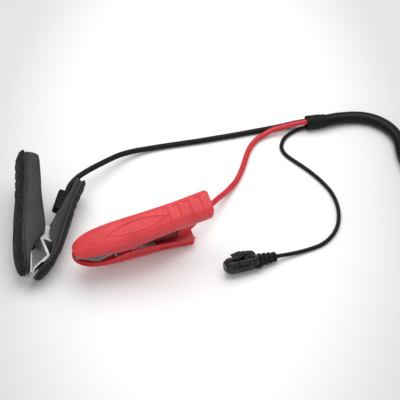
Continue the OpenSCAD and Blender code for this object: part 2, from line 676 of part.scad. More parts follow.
red_clamp("long_grip");  // red_long_grip
red_clamp("long_arm");  // red_long_arm
red_clamp("long_jaw");  // red_long_jaw
red_clamp("long_rivets");  // red_long_rivets
red_clamp("cable_grip");  // red_cable_grip
red_clamp("cable_arm");  // red_cable_arm
red_clamp("cable_jaw");  // red_cable_jaw
red_clamp("cable_rivets");  // red_cable_rivets
red_clamp("pivot_pin");  // red_pivot_pin
red_clamp("torsion_spring");  // red_torsion_spring
red_clamp("crimp");  // red_crimp
red_clamp("cord_grommet");  // red_cord_grommet
color(red) clamp_lead(red_place, red_turn, red_exit, red_route, red_bore);  // red_lead
black_clamp("long_grip");  // black_long_grip
black_clamp("long_arm");  // black_long_arm
black_clamp("long_jaw");  // black_long_jaw
black_clamp("long_rivets");  // black_long_rivets
black_clamp("cable_grip");  // black_cable_grip
black_clamp("cable_arm");  // black_cable_arm
black_clamp("cable_jaw");  // black_cable_jaw
black_clamp("cable_rivets");  // black_cable_rivets
black_clamp("pivot_pin");  // black_pivot_pin
black_clamp("torsion_spring");  // black_torsion_spring
black_clamp("crimp");  // black_crimp
black_clamp("cord_grommet");  // black_cord_grommet
color(black) clamp_lead(black_place, black_turn, black_exit, black_route, black_bore);  // black_lead
splitter_sleeve();
sensor_lead();
sensor_boot();
sensor_housing();
sensor_cap();
sensor_latch();
sensor_contacts();
trunk_cable();
trunk_coil();
coil_tie();
trunk_tail();
plug_boot();
plug_barrel();
plug_ring();
plug_insert();
plug_pins();
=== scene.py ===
"""Lead set of a battery tester, dressed for a studio picture.

Two battery clamps, a latching sensor lead and a trunk cable that meet in a splitter sleeve.
Sizes and places repeat those of the solids, in millimetres, and are scaled to metres where a
mesh, a curve or the camera is made.
"""
import math

import bmesh
import bpy
from mathutils import Matrix, Vector


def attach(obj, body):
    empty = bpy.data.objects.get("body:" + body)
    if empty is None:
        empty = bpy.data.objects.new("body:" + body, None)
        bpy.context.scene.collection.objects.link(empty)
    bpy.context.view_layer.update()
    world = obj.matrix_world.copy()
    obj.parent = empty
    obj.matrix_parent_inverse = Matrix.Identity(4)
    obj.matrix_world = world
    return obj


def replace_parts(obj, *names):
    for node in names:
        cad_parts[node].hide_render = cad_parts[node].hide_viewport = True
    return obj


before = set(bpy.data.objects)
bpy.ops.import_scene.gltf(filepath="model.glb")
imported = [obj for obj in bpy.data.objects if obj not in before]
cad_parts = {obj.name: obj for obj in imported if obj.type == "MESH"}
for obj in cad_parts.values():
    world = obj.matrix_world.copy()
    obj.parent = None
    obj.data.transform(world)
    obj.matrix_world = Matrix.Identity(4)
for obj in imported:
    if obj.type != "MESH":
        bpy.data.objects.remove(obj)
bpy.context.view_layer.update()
MM = 0.001

# ---- Sizes and places of the solids, in millimetres ----------------------------------------
# A clamp's arms run along X from the nose over the pivot, at 0, to the handle's end.
JAW_LEN = 46
LONG_HANDLE = 82
CABLE_HANDLE = 69
GRIP_W = 23
HALF_ANGLE = 7
# The lip between grip and arm: its height over the pivot of each arm, and at the nose.
LONG_LIP = 18.5
CABLE_LIP = 21.5
NOSE_LIP = 12.25
LIP_H = 1
CROWN = 3
# Depth of the side walls below the lip, in the lobe over the pivot and at the handle's end.
LONG_LOBE = 22.5
CABLE_LOBE = 13.5
LONG_END_WALL = 14.5
CABLE_END_WALL = 8
WALL_T = 1.6
WALL_SWELL = 0.9
WEB_T = 2.4
GROOVE_H = 3
RIB_COUNT = 4
RIB_PITCH = 10

LEAD_D = 5.4
SENSOR_D = 3.8
TRUNK_D = 12
# Height of a lead in its clamp's arm, and its stations there: in the crimp and at both ends of
# the grommet. Then the points by which it leaves.
CORD_Z = 13.2
CORD_STATIONS = (28, 33, 54)
RED_EXIT = [(59, -0.1, CORD_Z - 0.1), (64, -0.8, CORD_Z - 0.4)]
BLACK_EXIT = [(60, 0, CORD_Z), (65.5, 0, CORD_Z + 0.7), (69.8, 0, CORD_Z + 2)]
GROMMET_X, GROMMET_R, GROMMET_RIBS = (33, 54), 4.8, 6
GROMMET_DROP = 8

SLEEVE_D = 14.4
SLEEVE_LEN = 20
SLEEVE_LEAD_DEPTH = 10
SLEEVE_TRUNK_DEPTH = 7

# The connector runs along X from its boot over the housing to the nose under the cap.
CONN_W, CONN_H, CONN_LEN = 13, 12, 19
BOOT_LEN, BOOT_RIBS = 18, 4
CAP_LEN, NOSE_LEN = 12, 9
HINGE_X, HINGE_Z = 30, CONN_H / 2 + 2.4
LUG_Y, LUG_T = 3.6, 1.2
# The groove on the connector's sides: its edges as shares of the height, and its depth.
SLOT_LOW, SLOT_HIGH, SLOT_DEPTH = 0.02, 0.29, 1.1

RED_PLACE, RED_TURN = (12.1, -34.8, 31.85), (20, -2.3, 20)
BLACK_PLACE, BLACK_TURN = (-65.9, -17.1, 20.4), (-68, -6.7, 85.3)
SLEEVE_PLACE, SLEEVE_TURN = (183.3, 142, 7.2), (0, 0, 10)
CONN_PLACE, CONN_TURN = (147.3, -32, 5.8), (22, -5, 200)
COIL_PLACE = (357.3, 29, 0)
PLUG_PLACE, PLUG_TURN = (411.3, 109, 13), (0, 0, 138)

# Where each lead enters the sleeve: Y and Z in the sleeve's frame.
RED_BORE = (-1.5, 3)
BLACK_BORE = (3.2, -0.6)
SENSOR_BORE = (-1.8, -3.6)

# Points on the cords' middle lines, from the clamps to the sleeve and from the sleeve on.
RED_ROUTE = [
    (74.2, 0.6, 15.4), (79.2, 8.2, 15.3), (84.3, 16.8, 14.8), (89.8, 25.6, 13.1),
    (95.6, 35.2, 10.5), (101.8, 45, 7.4), (107.4, 55, 4.5), (113.2, 65.5, 2.8),
    (117.9, 77.5, 2.7), (121.4, 89.5, 2.7), (124.3, 101.5, 2.7), (128.4, 113.3, 2.7),
    (134.4, 122.9, 3), (143, 129.6, 4.4), (152.3, 134, 6.4), (162.3, 136, 8.2),
    (173.3, 138.5, 9.8)]
BLACK_ROUTE = [
    (-35, 53.6, 20), (-29.8, 59.8, 19.4), (-23.6, 66.6, 18.2), (-17.7, 73, 16.6),
    (-8.2, 83.5, 13.4), (2.3, 94.1, 10), (15.8, 103.5, 6.2), (30.8, 110, 3.6),
    (46.3, 114.5, 2.7), (62.8, 118, 2.7), (79.3, 121.5, 2.7), (95.8, 125.5, 2.7),
    (112.3, 129.5, 2.7), (127.3, 133.5, 2.7), (142.3, 137.5, 2.7), (158.3, 141.5, 3.2),
    (171.3, 144, 5)]
SENSOR_ROUTE = [
    (174.3, 137, 2.7), (166.8, 132, 1.9), (160.8, 124, 1.9), (158.3, 113, 1.9), (161.3, 104, 1.9),
    (166.3, 98, 1.9), (175.3, 89, 1.9), (184.8, 79, 1.9), (194.8, 66, 1.9), (202.3, 53, 1.9),
    (206.8, 38, 1.9), (207.8, 23, 1.9), (205.3, 8, 1.9), (199.3, -4, 1.9), (190.3, -13.5, 1.9),
    (177.8, -20, 2), (164.3, -25.5, 3)]
TRUNK_ROUTE = [
    (212.3, 148.8, 6.6), (222.3, 150.9, 6), (232.3, 151.6, 6), (242.2, 150.5, 6),
    (252.3, 146.5, 6), (261.6, 139.3, 6), (269.1, 128.6, 6), (272.8, 116.8, 6),
    (273.3, 106.8, 6), (274.2, 96.5, 6), (276.6, 86.7, 6), (280.4, 76.8, 6), (285.3, 64.5, 6),
    (288.3, 52.5, 6), (289.3, 40.5, 6)]
# The trunk's coil, from the angle where the trunk meets it: turns so far, radius and height.
COIL_START = 180
COIL_STEPS_A_TURN = 20
COIL_TURNS = [
    (0, 68, 6), (0.78, 68, 6), (1, 56, 6), (1.55, 56, 6), (1.62, 56.5, 9), (1.7, 57.5, 14),
    (1.78, 60, 17.4), (1.9, 62, 18.2), (2, 62, 17.6), (2.1, 62, 16.6), (2.38, 62, 16.6)]
# The trunk's tail off the coil: angle about the coil's middle, radius and height.
TAIL_ROUTE = [
    (324, 62, 16.6), (334, 64, 17.6), (344, 68, 18.2), (354, 74, 16.4), (364, 81, 12.4),
    (374, 88, 8.4), (384, 92, 6.4), (394, 93, 6.8), (402, 94, 8.8), (409, 95.5, 11.2)]
# How far a cord goes on into the connector or the plug.
END_DEPTH = 8


# ---- Frames --------------------------------------------------------------------------------
def turned(turn):
    """A turn about X, then Y, then Z, in degrees."""
    x, y, z = (math.radians(a) for a in turn)
    return Matrix.Rotation(z, 4, "Z") @ Matrix.Rotation(y, 4, "Y") @ Matrix.Rotation(x, 4, "X")


def placed(place, turn):
    return Matrix.Translation(place) @ turned(turn)


RED = placed(RED_PLACE, RED_TURN)
BLACK = placed(BLACK_PLACE, BLACK_TURN)
LONG_ARM = turned((0, -HALF_ANGLE, 0))
CABLE_ARM = turned((0, HALF_ANGLE, 0)) @ turned((180, 0, 0))
SLEEVE = placed(SLEEVE_PLACE, SLEEVE_TURN)
CONNECTOR = placed(CONN_PLACE, CONN_TURN)
PLUG = placed(PLUG_PLACE, PLUG_TURN)


# ---- Camera --------------------------------------------------------------------------------
VIEW_CENTRE = Vector((79.3, 44, 0))
VIEW_BACK = Vector((0, -911.4, 943.8))


def add_camera():
    """A long lens that looks down on the set from in front."""
    data = bpy.data.cameras.new("camera")
    data.lens, data.sensor_width = 126, 36
    data.clip_start, data.clip_end = 0.05, 20
    camera = bpy.data.objects.new("camera", data)
    camera.location = (VIEW_CENTRE + VIEW_BACK) * MM
    camera.rotation_euler = (-VIEW_BACK).to_track_quat("-Z", "Y").to_euler()
    bpy.context.scene.collection.objects.link(camera)
    bpy.context.scene.camera = camera


# ---- Materials -----------------------------------------------------------------------------
BUMP_STRENGTH = 0.6
PATCH_DETAIL, GRAIN_DETAIL = 4, 3
# By slot: light and dark tone, range of roughness, grains and patches a metre, height of a
# grain in metres, metallic and specular.
MATERIALS = {
    "red_grip": ((215, 60, 67), (205, 50, 57), (0.36, 0.5), 1500, 60, 0.00006, 0, 0.4),
    "red_shell": ((204, 44, 54), (192, 37, 47), (0.34, 0.44), 900, 60, 0.00003, 0, 0.4),
    "red_jacket": ((200, 38, 50), (188, 32, 44), (0.3, 0.42), 700, 60, 0.00003, 0, 0.4),
    "red_rubber": ((120, 26, 30), (100, 20, 24), (0.5, 0.65), 1200, 60, 0.00004, 0, 0.5),
    "black_grip": ((44, 44, 45), (8, 8, 9), (0.5, 0.85), 900, 520, 0.0004, 0, 0.15),
    "black_shell": ((54, 54, 55), (44, 44, 45), (0.4, 0.52), 1500, 60, 0.00005, 0, 0.2),
    "black_jacket": ((20, 20, 21), (13, 13, 14), (0.36, 0.46), 900, 60, 0.00004, 0, 0.16),
    "black_rubber": ((14, 14, 15), (8, 8, 9), (0.5, 0.65), 1200, 60, 0.00005, 0, 0.2),
    "jaw_steel": ((182, 182, 181), (156, 156, 156), (0.36, 0.5), 700, 60, 0.00004, 0.5, 0.5),
    "rivet_steel": ((214, 212, 208), (190, 190, 188), (0.22, 0.36), 900, 60, 0.00003, 1, 0.5),
    "spring_steel": ((168, 168, 166), (138, 138, 138), (0.24, 0.4), 900, 60, 0.00003, 1, 0.5),
    "tinned_brass": ((196, 190, 176), (172, 166, 152), (0.24, 0.4), 900, 60, 0.00003, 1, 0.5),
    "thin_jacket": ((13, 13, 14), (8, 8, 9), (0.3, 0.42), 900, 60, 0.00003, 0, 0.18),
    "connector_plastic": ((32, 32, 33), (10, 10, 11), (0.18, 0.3), 1600, 400, 0.00006, 0, 0.34),
    "trunk_jacket": ((12, 12, 13), (7, 7, 8), (0.24, 0.38), 700, 200, 0.00006, 0, 0.18),
    "strap": ((40, 40, 42), (24, 24, 26), (0.6, 0.8), 2600, 2600, 0.0003, 0, 0.5),
    "plug_plastic": ((34, 34, 35), (26, 26, 27), (0.36, 0.5), 1500, 60, 0.00005, 0, 0.3),
    "plug_ring_plastic": ((42, 42, 44), (30, 30, 32), (0.5, 0.62), 1200, 60, 0.00006, 0, 0.3),
    "insert_plastic": ((58, 60, 62), (48, 50, 52), (0.4, 0.55), 1400, 60, 0.00004, 0, 0.5),
}


def linear(colour):
    """Linear RGBA of a colour given as display values from 0 to 255."""
    return (*(((c / 255 + 0.055) / 1.055) ** 2.4 for c in colour), 1)


def grey(level):
    return (level, level, level, 1)


def node(tree, kind, **inputs):
    """A new node with its inputs set: an underscore stands for a space in an input's name."""
    made = tree.nodes.new(kind)
    for key, value in inputs.items():
        made.inputs[key.replace("_", " ")].default_value = value
    return made


def noise_at(tree, coordinates, scale, detail):
    made = node(tree, "ShaderNodeTexNoise", Scale=scale, Detail=detail)
    tree.links.new(coordinates, made.inputs["Vector"])
    return made.outputs["Fac"]


def ramp_of(tree, value, low, high, start=0.35, end=0.65):
    """A value between start and end, mapped to the colours or levels from low to high."""
    made = tree.nodes.new("ShaderNodeValToRGB")
    for stop, place, colour in zip(made.color_ramp.elements, (start, end), (low, high)):
        stop.position, stop.color = place, colour
    tree.links.new(value, made.inputs["Fac"])
    return made.outputs["Color"]


def surface(name, colour, shade, roughness, grain, patch, depth, metallic, specular):
    """A moulded, plated or drawn surface with patches of two tones and a fine grain."""
    material = bpy.data.materials.new(name)
    material.use_nodes = True
    tree = material.node_tree
    shader = tree.nodes["Principled BSDF"]
    shader.inputs["Metallic"].default_value = metallic
    shader.inputs["Specular IOR Level"].default_value = specular
    coordinates = tree.nodes.new("ShaderNodeTexCoord").outputs["Object"]
    patches = noise_at(tree, coordinates, patch, PATCH_DETAIL)
    fine = noise_at(tree, coordinates, grain, GRAIN_DETAIL)
    tree.links.new(ramp_of(tree, patches, linear(shade), linear(colour)),
                   shader.inputs["Base Color"])
    tree.links.new(ramp_of(tree, fine, *(grey(level) for level in roughness)),
                   shader.inputs["Roughness"])
    bump = node(tree, "ShaderNodeBump", Strength=BUMP_STRENGTH, Distance=depth)
    tree.links.new(fine, bump.inputs["Height"])
    tree.links.new(bump.outputs["Normal"], shader.inputs["Normal"])
    return material


LOOKS = {slot: surface(slot, *look) for slot, look in MATERIALS.items()}


# ---- Making pieces -------------------------------------------------------------------------
# Points on each rounded corner of a bar.
ARC_POINTS = 5
# A piece's faces are smooth, but for edges that turn by more than this, in degrees.
GRIP_ANGLE, SLEEVE_ANGLE, ARM_ANGLE, SMALL_ANGLE, KEPT_ANGLE = 50, 50, 38, 40, 34


def new_piece(name, data, body, slot):
    """An object of a curve or a mesh, with its slot's material, riding on a body."""
    data.materials.append(LOOKS[slot])
    piece = bpy.data.objects.new(name, data)
    bpy.context.scene.collection.objects.link(piece)
    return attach(piece, body)


def tube_piece(name, route, diameter, body, slot, sides=5):
    """A round cord along a route in millimetres."""
    data = bpy.data.curves.new(name, "CURVE")
    data.dimensions = "3D"
    data.bevel_depth = diameter / 2 * MM
    data.bevel_resolution = sides
    data.use_fill_caps = True
    spline = data.splines.new("POLY")
    spline.points.add(len(route) - 1)
    for point, place in zip(spline.points, route):
        point.co = (*(Vector(place) * MM), 1)
    spline.use_smooth = True
    return new_piece(name, data, body, slot)


def mesh_piece(solid, suffix, shape, matrix, body, slot, angle):
    """A mesh in place of a solid, named after it and riding on a body.

    shape is points in millimetres, in the frame of matrix, and faces.
    """
    points, faces = shape
    data = bpy.data.meshes.new(solid + suffix)
    data.from_pydata([matrix @ Vector(p) * MM for p in points], [], faces)
    data.validate()
    work = bmesh.new()
    work.from_mesh(data)
    bmesh.ops.recalc_face_normals(work, faces=work.faces)
    work.to_mesh(data)
    work.free()
    smooth_but_sharp(data, angle)
    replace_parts(new_piece(solid + suffix, data, body, slot), solid)


def smooth_but_sharp(mesh, angle):
    mesh.shade_smooth()
    mesh.set_sharp_from_angle(angle=math.radians(angle))


def loft(rings):
    """Points and faces of a solid through closed rings of equal length."""
    n = len(rings[0])
    faces = [(r * n + j, r * n + (j + 1) % n, (r + 1) * n + (j + 1) % n, (r + 1) * n + j)
             for r in range(len(rings) - 1) for j in range(n)]
    faces += [tuple(range(n)), tuple(range((len(rings) - 1) * n, len(rings) * n))]
    return [p for ring in rings for p in ring], faces


def box(corner, size):
    """Points and faces of a box from its lowest corner."""
    x, y, z = corner
    dx, dy, dz = size
    points = [(x + dx * i, y + dy * j, z + dz * k)
              for i in (0, 1) for j in (0, 1) for k in (0, 1)]
    return points, [(0, 1, 3, 2), (4, 6, 7, 5), (0, 4, 5, 1), (2, 3, 7, 6), (0, 2, 6, 4),
                    (1, 5, 7, 3)]


def joined(shapes):
    """Several shapes as one."""
    points, faces = [], []
    for more, its_faces in shapes:
        faces += [tuple(i + len(points) for i in face) for face in its_faces]
        points += more
    return points, faces


def bar_ring(x, width, height, radius, z=0):
    """A rounded rectangle across X, from a corner arc to the next, with its middle at z."""
    ring = []
    for quarter, (sy, sz) in enumerate([(1, 1), (-1, 1), (-1, -1), (1, -1)]):
        for i in range(ARC_POINTS):
            a = math.radians(90 * quarter + 90 / (ARC_POINTS - 1) * i)
            ring.append((x, sy * (width / 2 - radius) + radius * math.cos(a),
                         z + sz * (height / 2 - radius) + radius * math.sin(a)))
    return ring


def round_ring(x, radius, sides):
    return [(x, radius * math.cos(math.tau * i / sides), radius * math.sin(math.tau * i / sides))
            for i in range(sides)]


# ---- Cords ---------------------------------------------------------------------------------
LEAD_STEP, TRUNK_STEP = 3, 4


def smooth_route(points, step):
    """A centripetal spline through the points, in pieces about step long."""
    points = [Vector(p) for p in points]
    ends = [2 * points[0] - points[1], *points, 2 * points[-1] - points[-2]]
    route = []
    for a, b, c, d in zip(ends, ends[1:], ends[2:], ends[3:]):
        t1 = (b - a).length ** 0.5
        t2 = t1 + (c - b).length ** 0.5
        t3 = t2 + (d - c).length ** 0.5
        pieces = max(1, round((c - b).length / step))
        for i in range(pieces):
            t = t1 + (t2 - t1) * i / pieces
            ab = a.lerp(b, t / t1)
            bc = b.lerp(c, (t - t1) / (t2 - t1))
            cd = c.lerp(d, (t - t2) / (t3 - t2))
            ac = ab.lerp(bc, t / t2)
            bd = bc.lerp(cd, (t - t1) / (t3 - t1))
            route.append(ac.lerp(bd, (t - t1) / (t2 - t1)))
    return [*route, points[-1]]


def in_arm(clamp, way_out):
    """Points of a lead inside its clamp, from the crimp to the handle's end."""
    points = [*((x, 0, CORD_Z) for x in CORD_STATIONS), *way_out]
    return [clamp @ CABLE_ARM @ Vector(p) for p in points]


def in_sleeve(bore):
    return [SLEEVE @ Vector((x, *bore)) for x in (0, SLEEVE_LEAD_DEPTH)]


def round_coil(angle, radius, z):
    a = math.radians(angle)
    return Vector(COIL_PLACE) + Vector((radius * math.cos(a), radius * math.sin(a), z))


def coil_points():
    """Points on the coil's turns."""
    points = []
    for (t0, r0, z0), (t1, r1, z1) in zip(COIL_TURNS, COIL_TURNS[1:]):
        pieces = max(1, round((t1 - t0) * COIL_STEPS_A_TURN))
        for i in range(pieces):
            k = i / pieces
            angle = COIL_START + 360 * (t0 + (t1 - t0) * k)
            points.append(round_coil(angle, r0 + (r1 - r0) * k, z0 + (z1 - z0) * k))
    return points


def trunk_points():
    """Points of the whole trunk, from inside the sleeve to inside the plug."""
    sleeve_end = [SLEEVE @ Vector((x, 0, 0)) for x in (SLEEVE_LEN - SLEEVE_TRUNK_DEPTH, SLEEVE_LEN)]
    plug_end = [PLUG @ Vector((x, 0, 0)) for x in (0, END_DEPTH)]
    tail = [round_coil(*p) for p in TAIL_ROUTE]
    return [*sleeve_end, *TRUNK_ROUTE, *coil_points(), *tail, *plug_end]


def add_clamp_lead(colour, clamp, way_out, route, bore):
    """The lead from a clamp's crimp to the sleeve."""
    points = [*in_arm(clamp, way_out), *route, *in_sleeve(bore)]
    lead = tube_piece(colour + "_lead_cord", smooth_route(points, LEAD_STEP), LEAD_D, "lead_set",
                      colour + "_jacket")
    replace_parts(lead, colour + "_lead")


def add_sensor_lead():
    """The thin lead from the sleeve to the connector."""
    connector_end = [CONNECTOR @ Vector((x, 0, 0)) for x in (0, END_DEPTH)]
    points = [*reversed(in_sleeve(SENSOR_BORE)), *SENSOR_ROUTE, *connector_end]
    sensor = tube_piece("sensor_lead_cord", smooth_route(points, LEAD_STEP), SENSOR_D, "lead_set",
                        "thin_jacket")
    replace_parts(sensor, "sensor_lead")


def add_trunk():
    """The heavy cable from the sleeve, through its coil, to the plug."""
    trunk = tube_piece("trunk_cord", smooth_route(trunk_points(), TRUNK_STEP), TRUNK_D, "lead_set",
                       "trunk_jacket", sides=8)
    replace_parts(trunk, "trunk_cable", "trunk_coil", "trunk_tail")


# ---- Clamps --------------------------------------------------------------------------------
# By place along an arm, from the nose (-1) over the pivot (0) to the handle's end (1): share
# of the half width, and share of the lip's rise from the nose to the pivot.
PLAN = [
    (-1, 0.2, 0), (-0.985, 0.38, 0.04), (-0.93, 0.6, 0.15), (-0.86, 0.76, 0.29),
    (-0.75, 0.9, 0.5), (-0.6, 1, 0.72), (-0.4, 1.04, 0.9), (-0.18, 1.05, 1), (0.05, 1.04, 1),
    (0.3, 0.99, 1), (0.56, 0.97, 1), (0.62, 0.97, 1), (0.85, 1, 1.14), (1, 1.02, 1.25)]
# Depth of the side walls below the lip.
LONG_DEPTH = [
    (-1, 3.2), (-0.93, 4.4), (-0.86, 5.6), (-0.75, 6.8), (-0.62, 8.6), (-0.46, 11.4),
    (-0.34, 14.8), (-0.2, LONG_LOBE - 3.4), (-0.08, LONG_LOBE - 0.6), (0.05, LONG_LOBE),
    (0.14, LONG_LOBE - 0.8), (0.3, LONG_END_WALL + 5.5), (0.5, LONG_END_WALL + 3.3),
    (0.8, LONG_END_WALL + 1.8), (0.95, LONG_END_WALL + 0.6), (1, LONG_END_WALL - 2)]
CABLE_DEPTH = [
    (-1, 3.4), (-0.86, 3.8), (-0.66, 4.1), (-0.5, 4.6), (-0.36, 5.6), (-0.22, CABLE_LOBE - 6),
    (-0.08, CABLE_LOBE - 2), (0.05, CABLE_LOBE), (0.3, CABLE_LOBE - 0.9),
    (0.5, CABLE_END_WALL + 2.2), (0.75, CABLE_END_WALL + 0.2), (0.92, CABLE_END_WALL),
    (1, CABLE_END_WALL - 0.6)]
# Across a grip from its middle to its edge: share of the half width and of the crown.
SHOULDER = [(0, 0, 1), (1, 0.42, 0.955), (2, 0.64, 0.82), (3, 0.81, 0.49), (4, 0.95, 0.22),
            (5, 1, -0.02)]
GRIP_COLUMNS = 80
GRIP_STEP, ARM_STEP = 0.45, 1.2
# Extra places close to both ends, and where the handle's end starts to draw in.
END_PLACES = (-0.997, -0.993, -0.985, -0.975, 0.965, 0.972, 0.98, 0.985, 0.99, 0.995)
END_START, END_FALL = 0.97, 9
# How far the groove's neck and the side walls stand in from the lip's edge.
NECK_INSET, WALL_INSET = 2.5, 0.9
# Places down a side wall, from its top to its edge.
WALL_PLACES = (0, 0.12, 0.3, 0.5, 0.7, 0.88, 1)
# Where an arm's hollow starts and how soon it reaches its depth.
HOLLOW_START, HOLLOW_RUN = -0.8, 0.04
# Height of the relief on a grip, and half the width of its ridges.
RIB_H, RIB_HALF = 0.6, 0.65
OVAL_H, OVAL_HALF = 0.58, 0.75
PAD_H, PAD_FADE = 0.4, 1
# The last rib's distance from the handle's end, the ribs' share of the half width, their hooks.
RIB_END, RIB_SHARE, HOOK_LEN = 8, 0.62, 5
# The oval's length and place as shares of the handle, and its width as a share of the grip's.
OVAL_LEN, OVAL_PLACE, OVAL_W = 0.7, 0.17, 0.5
# The boss over the nose: its place as a share of the jaw, and its radius.
PAD_PLACE, PAD_R = 0.56, 3


def curve(table, x, k):
    """A smooth curve through column k of a table, read at x of its first column."""
    i = 0
    while i < len(table) - 2 and x >= table[i + 1][0]:
        i += 1

    def slope(j):
        a, b = table[max(0, j - 1)], table[min(len(table) - 1, j + 1)]
        return (b[k] - a[k]) / (b[0] - a[0])

    p, q = table[i], table[i + 1]
    h = q[0] - p[0]
    u = (x - p[0]) / h
    return (p[k] * (2 * u**3 - 3 * u**2 + 1) + h * slope(i) * (u**3 - 2 * u**2 + u)
            + q[k] * (3 * u**2 - 2 * u**3) + h * slope(i + 1) * (u**3 - u**2))


def along(u, handle):
    return u * JAW_LEN if u < 0 else u * handle


def rounded_end(u):
    """1 along an arm, and less where the handle's end draws in."""
    return 1 - END_FALL * (u - END_START) if u > END_START else 1


def half_width(u):
    return curve(PLAN, u, 1) * GRIP_W / 2 * (0.25 + 0.75 * rounded_end(u))


def lip_z(u, lip):
    return NOSE_LIP + (lip - NOSE_LIP) * curve(PLAN, u, 2)


def crown_at(u):
    """Rise of a grip's middle over its edges, lower at the nose and at the handle's end."""
    return CROWN * min(1, 0.36 + 2.4 * max(0, 1 + u) ** 0.6) * rounded_end(u)


def stations(handle, step):
    """Places along an arm, -1 to 1, about step millimetres apart and closer at the ends."""
    before, after = round(JAW_LEN / step), round(handle / step)
    jaw = [-(1 - i / before) for i in range(before)]
    grip = [i / after for i in range(after + 1)]
    return sorted({*jaw, *grip, *END_PLACES})


def bell(distance, half):
    """1 in the middle of a ridge, falling smoothly to 0 at its foot."""
    k = min(1, abs(distance) / half)
    return (1 - k * k) ** 2


def rib_relief(x, y, handle, width):
    """Fine raised ribs across the handle, each with a short hook to the jaws at one end."""
    height = 0
    for i in range(RIB_COUNT):
        rib_x = handle - RIB_END - i * RIB_PITCH
        if abs(y) < width * RIB_SHARE:
            height = max(height, bell(x - rib_x, RIB_HALF))
        if rib_x - HOOK_LEN < x < rib_x:
            height = max(height, bell(y - width * RIB_SHARE, RIB_HALF))
    return RIB_H * height


def oval_relief(x, y, handle):
    """A raised bare ring, oval with pointed ends, made of two arcs."""
    length, wide = handle * OVAL_LEN, GRIP_W * OVAL_W
    bow = (length * length / 4 + wide * wide / 4) / wide
    centre = bow - wide / 2
    dx = x - handle * OVAL_PLACE
    if abs(dx) > length / 2 + 1:
        return 0
    distance = math.hypot(dx, abs(y) + centre) - bow
    return OVAL_H * bell(distance + 0.4, OVAL_HALF)


def pad_relief(x, y):
    """A low round boss over the nose, where the mould was filled."""
    return PAD_H * bell(max(0, math.hypot(x + JAW_LEN * PAD_PLACE, y) - PAD_R), PAD_FADE)


def grip_ring(u, lip, handle):
    """One outline across a grip, from edge to edge over the crown and back underneath."""
    x, w, z, c = along(u, handle), half_width(u), lip_z(u, lip), crown_at(u)
    ring = [(x, w * 0.985, z - LIP_H), (x, w, z - LIP_H * 0.8)]
    reach = SHOULDER[-1][0]
    for i in range(GRIP_COLUMNS + 1):
        s = reach * (1 - 2 * i / GRIP_COLUMNS)
        y = math.copysign(curve(SHOULDER, abs(s), 1), s) * w
        relief = max(rib_relief(x, y, handle, w), oval_relief(x, y, handle), pad_relief(x, y))
        ring.append((x, y, z + c * curve(SHOULDER, abs(s), 2) + relief))
    ring += [(x, -w, z - LIP_H * 0.8), (x, -w * 0.985, z - LIP_H)]
    return ring


def arm_ring(u, lip, handle, depth):
    """One outline across an arm: web, groove under the lip, side walls and the hollow.

    Where the arm is shallow or narrow, the groove, the walls' swell and their rounded edges
    take a share of its depth or width.
    """
    x, w, z, d = along(u, handle), half_width(u), lip_z(u, lip), curve(depth, u, 1)
    top, edge = z - LIP_H, z - d
    room = min(1, (d - LIP_H) / (2 * GROOVE_H))
    groove = top - GROOVE_H * room * 0.8
    side_top = groove - 0.5 * room
    neck, wall = w - min(NECK_INSET, 0.35 * w), w - min(WALL_INSET, 0.15 * w)
    soft = min(0.5, (side_top - edge) / 4)
    swell = min(WALL_SWELL, (side_top - edge) / 18)
    bowed = [(wall - swell * (1 - 4 * t * (1 - t)),
              side_top - soft + (edge + 2 * soft - side_top) * t)
             for t in WALL_PLACES]
    inner = max(0.2, wall - WALL_T) - swell / 2
    hollow = min(1, max(0, (u - HOLLOW_START) / HOLLOW_RUN))
    roof = edge + max(0.02, (top - WEB_T - edge) * hollow)
    half = [(neck, top), (neck, groove), (wall - swell - soft / 2, side_top), *bowed,
            (wall - swell - soft, edge), (inner + soft / 2, edge), (inner, edge + soft / 2),
            (inner, roof)]
    return [(x, y, h) for y, h in half] + [(x, -y, h) for y, h in reversed(half)]


def add_grip(name, clamp, side, lip, handle, body, slot):
    rings = [grip_ring(u, lip, handle) for u in stations(handle, GRIP_STEP)]
    mesh_piece(name, "_cover", loft(rings), clamp @ side, body, slot, GRIP_ANGLE)


def add_arm(name, clamp, side, lip, handle, depth, body, slot):
    rings = [arm_ring(u, lip, handle, depth) for u in stations(handle, ARM_STEP)]
    mesh_piece(name, "_shell", loft(rings), clamp @ side, body, slot, ARM_ANGLE)


def add_clamp(colour, clamp):
    """Grips and arms of both sides. The long side turns, and the lead holds the cable side."""
    long_body = colour + "_long_side"
    grip, shell = colour + "_grip", colour + "_shell"
    add_grip(colour + "_long_grip", clamp, LONG_ARM, LONG_LIP, LONG_HANDLE, long_body, grip)
    add_grip(colour + "_cable_grip", clamp, CABLE_ARM, CABLE_LIP, CABLE_HANDLE, "lead_set", grip)
    add_arm(colour + "_long_arm", clamp, LONG_ARM, LONG_LIP, LONG_HANDLE, LONG_DEPTH, long_body,
            shell)
    add_arm(colour + "_cable_arm", clamp, CABLE_ARM, CABLE_LIP, CABLE_HANDLE, CABLE_DEPTH,
            "lead_set", shell)


def add_grommet(colour, clamp):
    """A ribbed strain relief: its block hangs below the lead that it holds."""
    height, z = GROMMET_DROP + GROMMET_R, CORD_Z + (GROMMET_R - GROMMET_DROP) / 2
    start = GROMMET_X[0] - 2
    pitch = (GROMMET_X[1] - start) / GROMMET_RIBS
    # Across one rib: place from its start, and how much smaller the outline is than the rib.
    rib = [(0, 1.2), (0.25, 0.3), (0.5, 0), (pitch * 0.6, 0), (pitch * 0.6 + 0.25, 0.3),
           (pitch * 0.6 + 0.5, 1.2)]
    rings = [bar_ring(start + i * pitch + dx, 2 * GROMMET_R - cut, height - cut, 2.2, z)
             for i in range(GROMMET_RIBS) for dx, cut in rib]
    mesh_piece(colour + "_cord_grommet", "_block", loft(rings), clamp @ CABLE_ARM, "lead_set",
               colour + "_rubber", SMALL_ANGLE)


